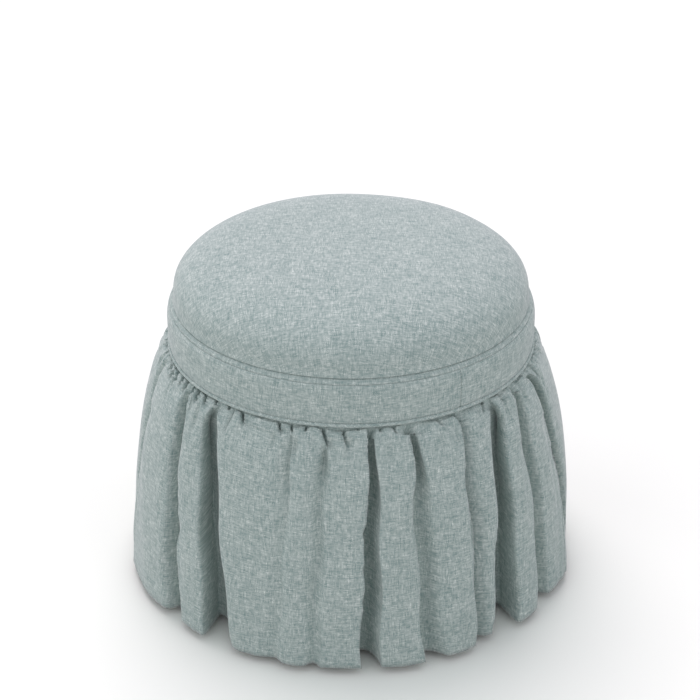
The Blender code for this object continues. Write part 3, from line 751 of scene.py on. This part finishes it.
def ripple(degrees, length):
    """Fine gathers just under the welt and a slow wander of the panels, in millimetres."""
    angle = np.radians(degrees)
    fine = np.sin(271 * angle + 3 * np.sin(7 * angle)) * np.exp(-((length - 6) / 5) ** 2)
    slow = np.sin(13 * angle + length / 60 + 1) + np.sin(29 * angle - length / 45)
    return 0.35 * fine + 0.7 * slow * smooth_step(length, 15, 80)


def hem_relief(length, hem):
    """Doubled cloth of the hem and the stitch line at its upper edge, in millimetres."""
    edge = hem - HEM_FOLD / MM
    doubled = 0.5 * smooth_step(length, edge - 1.5, edge + 1.5)
    stitched = 0.7 * np.exp(-((length - edge) / 1.1) ** 2)
    return doubled - stitched


def skirt_degrees():
    """Columns round the skirt, closer together at notches and on valley flanks."""
    fine = np.linspace(-180, 180, 14401)
    weight = np.ones_like(fine)
    for centre, _, width, _, slant in all_notches():
        weight += 2.2 * np.exp(-(aside_from(fine, centre + slant / 2) / (2.2 * width)) ** 2)
    profile = valley_field(fine[None, :], np.array([[110.0], [300.0]]))[0][0]
    weight += 0.5 * np.abs(np.gradient(profile, fine * MM_PER_DEGREE))
    share = np.concatenate([[0], np.cumsum((weight[1:] + weight[:-1]) / 2)])
    spots = np.linspace(0, share[-1], SKIRT_COLUMNS, endpoint=False)
    return np.interp(spots, share, fine)


def skirt_lengths(total):
    """Rows down the skirt: close at the gathers, wider towards the hem."""
    top = np.linspace(0, 20 * MM, 17)
    middle = np.linspace(20 * MM, 60 * MM, 11)[1:]
    low = np.linspace(60 * MM, total - HEM_FOLD - 4 * MM, 19)[1:]
    stitch = total - HEM_FOLD + np.array([-2, -1, 0, 1, 2, 4]) * MM
    hem = np.linspace(total - HEM_FOLD + 10 * MM, total, 4)
    return np.concatenate([top, middle, low, stitch, hem])


def skirt_points():
    """Grid of the skirt's outer face, with its columns and lengths."""
    path = ridge_path()
    lengths = skirt_lengths(path[-1, 0])
    radius, height, slope = (
        np.interp(lengths, path[:, 0], path[:, k])[:, None] for k in (1, 2, 3))
    degrees = skirt_degrees()
    column, row = degrees[None, :], lengths[:, None] / MM
    valley, shift = valley_field(column, row)
    notch, notch_shift = notch_field(column, row)
    depth = (valley + notch + ripple(column, row)) * MM
    inward = np.maximum(np.sin(slope), 0.65)
    down = np.sqrt(1 - inward ** 2) * np.exp(-row / 40)
    depth -= hem_relief(row, row.max()) * MM
    column = column + (shift + notch_shift) / MM_PER_DEGREE
    room = radius - radius_of("drum_shell") - SKIRT_CLOTH - DRUM_CLEARANCE
    inwards = room * np.tanh(depth * inward / room)
    points = round_axis(column, radius - inwards, height - depth * down)
    return points, degrees, lengths


def cloth_across(points):
    """Cloth place across the skirt at each column, from the lengths of a row below the gathers."""
    row = points[CUT_ROW]
    steps = np.linalg.norm(np.roll(row, -1, axis=0) - row, axis=1)
    return np.concatenate([[0], np.cumsum(steps)])


def hold_weights(degrees, lengths):
    """How firmly each point is held: fully at the seam and in folds, softly on the panels."""
    column, row = degrees[None, :], lengths[:, None] / MM
    valley, _ = valley_field(column, row)
    notch, _ = notch_field(column, row)
    high, middle, low = PANEL_HOLDS
    weights = np.where(row < 25, high, np.where(row < 45, middle, low))
    weights = np.repeat(weights, len(degrees), axis=1)
    weights[(valley > 5) & (row > 18)] = 1.0
    weights[(valley > 2.5) & (row > 18) & (row < 80)] = 1.0
    weights[(notch > 1.2) & (row < 30)] = 1.0
    weights[0] = 1.0
    return weights


def cut_ring(weave, lengths):
    """The cut cloth before gathering: a wide ring, somewhat narrower at its seam edge."""
    seam = 2 * math.pi * (WELT_CENTRE - SEAM_INSET) * FULLNESS
    widths = seam + (weave[0, -1, 0] - seam) * smooth_step(lengths, 0, 150 * MM)
    radius = widths / (2 * math.pi)
    falls = np.sqrt(np.diff(lengths) ** 2 - np.diff(radius) ** 2)
    height = WELT_BOTTOM - np.concatenate([[0], np.cumsum(falls)])
    turn = weave[:, :-1, 0] / weave[0, -1, 0] * 360 - 180
    return round_axis(turn, radius[:, None], height[:, None])


def settle(points, weave, lengths, weights):
    """Points of the skirt after its cut cloth is drawn in to the seam, buckles and settles."""
    mesh = grid_mesh("skirt_settling", cut_ring(weave, lengths), weave)
    skirt = bpy.data.objects.new("skirt_settling", mesh)
    bpy.context.scene.collection.objects.link(skirt)
    skirt.shape_key_add(name="Basis")
    hung = skirt.shape_key_add(name="hung")
    hung.data.foreach_set("co", points.astype(np.float32).ravel())
    for frame_number, share in ((1, 0), (DRAWN_FRAMES, 1)):
        hung.value = share
        hung.keyframe_insert("value", frame=frame_number)
    held = skirt.vertex_groups.new(name="held")
    for weight in np.unique(weights):
        held.add(np.flatnonzero(weights.ravel() == weight).tolist(), float(weight), 'REPLACE')
    settings = skirt.modifiers.new("Cloth", 'CLOTH').settings
    settings.vertex_group_mass = "held"
    let_go, free = LET_GO_FRAMES
    for frame_number, hold in ((1, FIRM_HOLD), (let_go, FIRM_HOLD), (free, SOFT_HOLD)):
        settings.pin_stiffness = hold
        settings.keyframe_insert("pin_stiffness", frame=frame_number)
    for key, value in CLOTH_SETTINGS.items():
        setattr(settings, key, value)
    settings.effector_weights.gravity = CLOTH_GRAVITY
    for frame_number in range(1, SETTLE_FRAMES + 1):
        bpy.context.scene.frame_set(frame_number)
    solved = skirt.evaluated_get(bpy.context.evaluated_depsgraph_get()).data
    places = np.empty(points.size, dtype=np.float32)
    solved.vertices.foreach_get("co", places)
    bpy.context.scene.frame_set(1)
    bpy.data.objects.remove(skirt)
    return keep_clear(eased(places.reshape(points.shape).astype(float), weights, lengths))


def eased(points, weights, lengths):
    """Points with wrinkles no wider than a few columns smoothed out where the cloth is free."""
    free = 0.5 * (weights < 1)[..., None]
    lower = free * (lengths > 45 * MM)[:, None, None]
    for share in (free, free, lower, lower, lower):
        beside = (np.roll(points, 1, axis=1) + np.roll(points, -1, axis=1)) / 2
        points = points + share * (beside - points)
    return points


def keep_clear(points):
    """Points moved out of the drum and up from the floor."""
    radius = np.hypot(points[..., 0], points[..., 1])
    least = radius_of("drum_shell") + SKIRT_CLOTH + DRUM_CLEARANCE
    points[..., :2] *= (np.maximum(radius, least) / radius)[..., None]
    points[..., 2] = np.maximum(points[..., 2], FLOOR_CLEARANCE)
    return points


def make_skirt(cloth):
    """Gathered skirt, hung from the welt in folds."""
    points, degrees, lengths = skirt_points()
    across = cloth_across(points)
    weave = np.stack(np.meshgrid(across, lengths), axis=-1)
    points = settle(points, weave, lengths, hold_weights(degrees, lengths))
    mesh = grid_mesh("skirt_cloth", points, weave)
    skirt = add_piece("skirt_cloth", mesh, cloth, "base")
    thicken(skirt, SKIRT_CLOTH)
    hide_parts("skirt")


# Linings and dust cover

def cloth_disc(name, node, edge, crown, material, body):
    """Closed disc of cloth in the space of a node: rounded turned edge, face drawn tight.

    The edge is the width of the turned border. The face is the lower one if crown is below
    zero, and the upper one otherwise.
    """
    low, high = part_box(node)
    radius, thick = high.x, high.z - low.z
    face, back = (low.z, high.z) if crown < 0 else (high.z, low.z)
    sign = 1 if crown < 0 else -1
    border = np.array([0, 0.25, 0.5, 0.7, 0.85, 0.95, 1]) * edge
    middle = np.linspace(0, radius - edge - 2 * MM, 24)
    reach = np.concatenate([middle, radius - edge + border - 0.4 * MM])
    sink = 0.3 * thick * smooth_step(radius - reach, 0.9 * edge, 1.1 * edge)
    front = np.stack([reach, face + sign * sink], axis=1)
    rear = np.array([(radius, (face + back) / 2), (radius - 0.4 * MM, back), (0, back)])
    profile = np.concatenate([front, rear])
    if crown > 0:
        profile = profile[::-1]
    degrees = ring_degrees(180)
    points = round_axis(degrees[None, :], profile[:, :1], profile[:, 1:])
    pucker = np.sin(np.radians(degrees) * 45) + 0.7 * np.sin(np.radians(degrees) * 71 + 1)
    near_edge = smooth_step(profile[:, :1], radius - 6 * edge, radius - edge)
    inside = profile[:, :1] < radius - edge
    on_face = np.abs(profile[:, 1:] - face) < 0.5 * thick
    points[..., 2] += sign * 0.06 * thick * (1 + pucker[None, :]) * near_edge * inside * on_face
    closed = np.radians(np.append(degrees, degrees[0] + 360))[None, :]
    weave = np.stack([profile[:, :1] * np.sin(closed), -profile[:, :1] * np.cos(closed)], axis=-1)
    piece = add_piece(name, grid_mesh(name, points, weave), material, body)
    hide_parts(node)
    return piece


def make_lining_wall(material):
    """Cloth-covered board round the hollow, with a lapped upright join at the back."""
    low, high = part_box("lining_wall")
    outer = high.x
    thick = 2 * MM
    inner = outer - thick
    turn = np.linspace(0, math.pi, 9)
    middle = (outer + inner) / 2
    half = thick / 2
    top = np.stack([middle + half * np.cos(turn), high.z - half + half * np.sin(turn)], axis=1)
    rows = np.linspace(high.z - thick, low.z, 40)[1:]
    inside = np.stack([np.full_like(rows, inner), rows], axis=1)
    profile = np.concatenate([[(outer, low.z)], top, inside])
    join = np.array([-0.6, -0.3, -0.12, 0, 0.12, 0.3, 0.6, 3.4, 3.7, 4.0])
    spots = ring_degrees(180)
    degrees = np.sort(np.concatenate([spots[np.abs(spots - 1) > 4.5], join])) + 180
    radius = np.repeat(profile[:, :1], len(degrees), axis=1)
    aside = degrees - 180
    lap = 0.35 * MM * smooth_step(aside, -0.12, 0.12) * (1 - smooth_step(aside, 3.4, 3.9))
    slack = 0.12 * MM * np.sin(9 * np.radians(degrees)) * np.sin(profile[:, 1:] * 23 + 1)
    on_face = (np.arange(len(profile)) >= len(top) + 1)[:, None]
    radius = radius + on_face * (lap[None, :] * 0.7 + slack)
    points = round_axis(degrees[None, :], radius, profile[:, 1:])
    weave = wrapped_weave(degrees, inner, np.append(travelled(profile), 0))
    mesh = grid_mesh("lining_wall_cloth", points, weave, loop=True)
    wall = add_piece("lining_wall_cloth", mesh, material, "base")
    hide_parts("lining_wall")


def make_linings():
    cotton = lining_cotton()
    panel = cloth_disc("lid_underside_cloth", "lid_underside_lining", 9 * MM, -1, cotton, "lid")
    make_lining_wall(cotton)
    cloth_disc("lining_floor_cloth", "lining_floor", 5 * MM, 1, cotton, "base")
    cover = cloth_disc("dust_cover_cloth", "base_dust_cover", 12 * MM, -1, dust_cloth(), "base")


# Feet

def turned(name, profile, centre, material, replaced):
    """Closed turned piece round an upright axis; the profile runs from top to bottom."""
    degrees = ring_degrees(64)
    points = round_axis(degrees[None, :], profile[:, :1], profile[:, 1:])
    points = points + np.array([centre[0], centre[1], 0])
    weave = wrapped_weave(degrees, 20 * MM, travelled(profile))
    piece = add_piece(name, grid_mesh(name, points, weave), material, "base")
    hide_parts(replaced)


def foot_profile(top, bottom):
    """Tapered foot with a bead under its collar and a rounded toe, from its top to its toe."""
    shape = np.array([(0, 0), (22.8, 0), (23.6, 0.3), (24, 1), (24, 5.2), (23.6, 5.9), (22.6, 6.3),
                      (22.2, 6.8), (22.3, 7.4), (22.9, 8.0), (23.1, 8.8), (22.8, 9.6), (22.0, 10.2),
                      (21.7, 10.7), (21.5, 12), (20.6, 18), (19.3, 26), (18.1, 33), (17.4, 36.6),
                      (17.0, 37.9), (16.2, 38.7), (15.2, 39.1), (0, 39.1)]) * MM
    scale = (top - bottom) / shape[-1, 1]
    return np.stack([shape[:, 0], top - shape[:, 1] * scale], axis=1)


def glide_profile(top, bottom):
    shape = np.array([(0, 4), (13.4, 4), (13.8, 3.8), (14, 3.3), (14, 2.2), (13.7, 1.3), (13, 0.6),
                      (11.8, 0.15), (10, 0), (0, 0)]) * MM
    return np.stack([shape[:, 0], bottom + shape[:, 1] * (top - bottom) / (4 * MM)], axis=1)


def make_feet():
    dark, light = (0.035, 0.020, 0.012), (0.13, 0.075, 0.042)
    stained = wood("stained_wood", dark, light, (9, 9, 1.2), 30, 0.42)[1]
    plastic = nylon()
    for i in range(1, 5):
        low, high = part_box(f"foot_{i}")
        centre = (low + high) / 2
        profile = foot_profile(high.z, low.z)
        turned(f"turned_foot_{i}", profile, centre, stained, f"foot_{i}")
        floor = bottom_of(f"foot_glide_{i}")
        profile = glide_profile(low.z - GAP, floor)
        turned(f"moulded_glide_{i}", profile, centre, plastic, f"foot_glide_{i}")


# Finishes of the rigid parts

def finish_parts():
    bent = plywood("bent_plywood", "radius")
    flat = plywood("flat_plywood", "height")
    pine = wood("pine", (0.52, 0.37, 0.21), (0.74, 0.58, 0.38), (8, 8, 1.2), 22, 0.62)[1]
    zinc = zinc_steel()
    finishes = {"drum_shell": bent, "top_hoop": flat, "base_panel": flat, "lid_board": flat}
    finishes.update({f"post_{i}": pine for i in range(1, 7)})
    finishes.update({f"lid_cleat_{i}": pine for i in range(1, 5)})
    finishes.update({f"lid_cleat_screw_{i}": zinc for i in range(1, 9)})
    finishes.update({f"hoop_screw_{i}": zinc for i in range(1, 7)})
    finishes.update({f"foot_bolt_{i}": zinc for i in range(1, 5)})
    for node, material in finishes.items():
        mesh = bpy.data.objects[node].data
        mesh.materials.clear()
        mesh.materials.append(material)


# Stage, light and camera

def make_floor():
    mesh = bpy.data.meshes.new("floor")
    reach = 8.0
    corners = [(-reach, -reach, 0), (reach, -reach, 0), (reach, reach, 0), (-reach, reach, 0)]
    mesh.from_pydata(corners, [], [(0, 1, 2, 3)])
    floor = bpy.data.objects.new("floor", mesh)
    bpy.context.scene.collection.objects.link(floor)
    look = Look("floor_paint")
    mottle = look.noise(look.position(), 3.0, 3.0)
    white = look.blend(mottle, (0.94, 0.973, 0.906), (0.96, 0.993, 0.926))
    dim = look.blend(mottle, (0.57, 0.57, 0.54), (0.59, 0.59, 0.56))
    rays = look.add("ShaderNodeLightPath", {}).outputs
    mirrored = look.math('MAXIMUM', rays["Is Glossy Ray"], rays["Is Transmission Ray"])
    seen = look.math('MAXIMUM', rays["Is Camera Ray"], mirrored)
    colour = look.blend(seen, dim, white)
    mesh.materials.append(look.surface(colour, 0.9, look.bump(mottle, 0.1 * MM, 0.1)))


def add_sun(name, energy, spread, source, colour):
    """Soft distant lamp shining from a direction towards the object."""
    data = bpy.data.lights.new(name, 'SUN')
    data.energy = energy
    data.color = colour
    data.angle = math.radians(spread)
    lamp = bpy.data.objects.new(name, data)
    lamp.rotation_euler = Vector(source).to_track_quat('Z', 'Y').to_euler()
    bpy.context.scene.collection.objects.link(lamp)


def make_light():
    world = bpy.data.worlds.new("studio")
    bpy.context.scene.world = world
    world.use_nodes = True
    sky = world.node_tree.nodes["Background"]
    sky.inputs["Color"].default_value = SKY_COLOUR
    sky.inputs["Strength"].default_value = SKY_STRENGTH
    for lamp in LAMPS:
        add_sun(*lamp)


def make_camera():
    data = bpy.data.cameras.new("camera")
    data.sensor_width = 36
    data.lens = FOCAL_LENGTH
    camera = bpy.data.objects.new("camera", data)
    camera.location = CAMERA_PLACE
    camera.rotation_euler = (math.radians(CAMERA_TILT), 0, 0)
    bpy.context.scene.collection.objects.link(camera)
    bpy.context.scene.camera = camera
    bpy.context.scene.view_settings.view_transform = 'Standard'


def main():
    cloth = linen()
    make_camera()
    make_lid_cushion(cloth)
    make_rim_facing(cloth)
    make_band(cloth)
    make_welt(cloth)
    make_skirt(cloth)
    make_linings()
    make_feet()
    finish_parts()
    make_floor()
    make_light()


main()
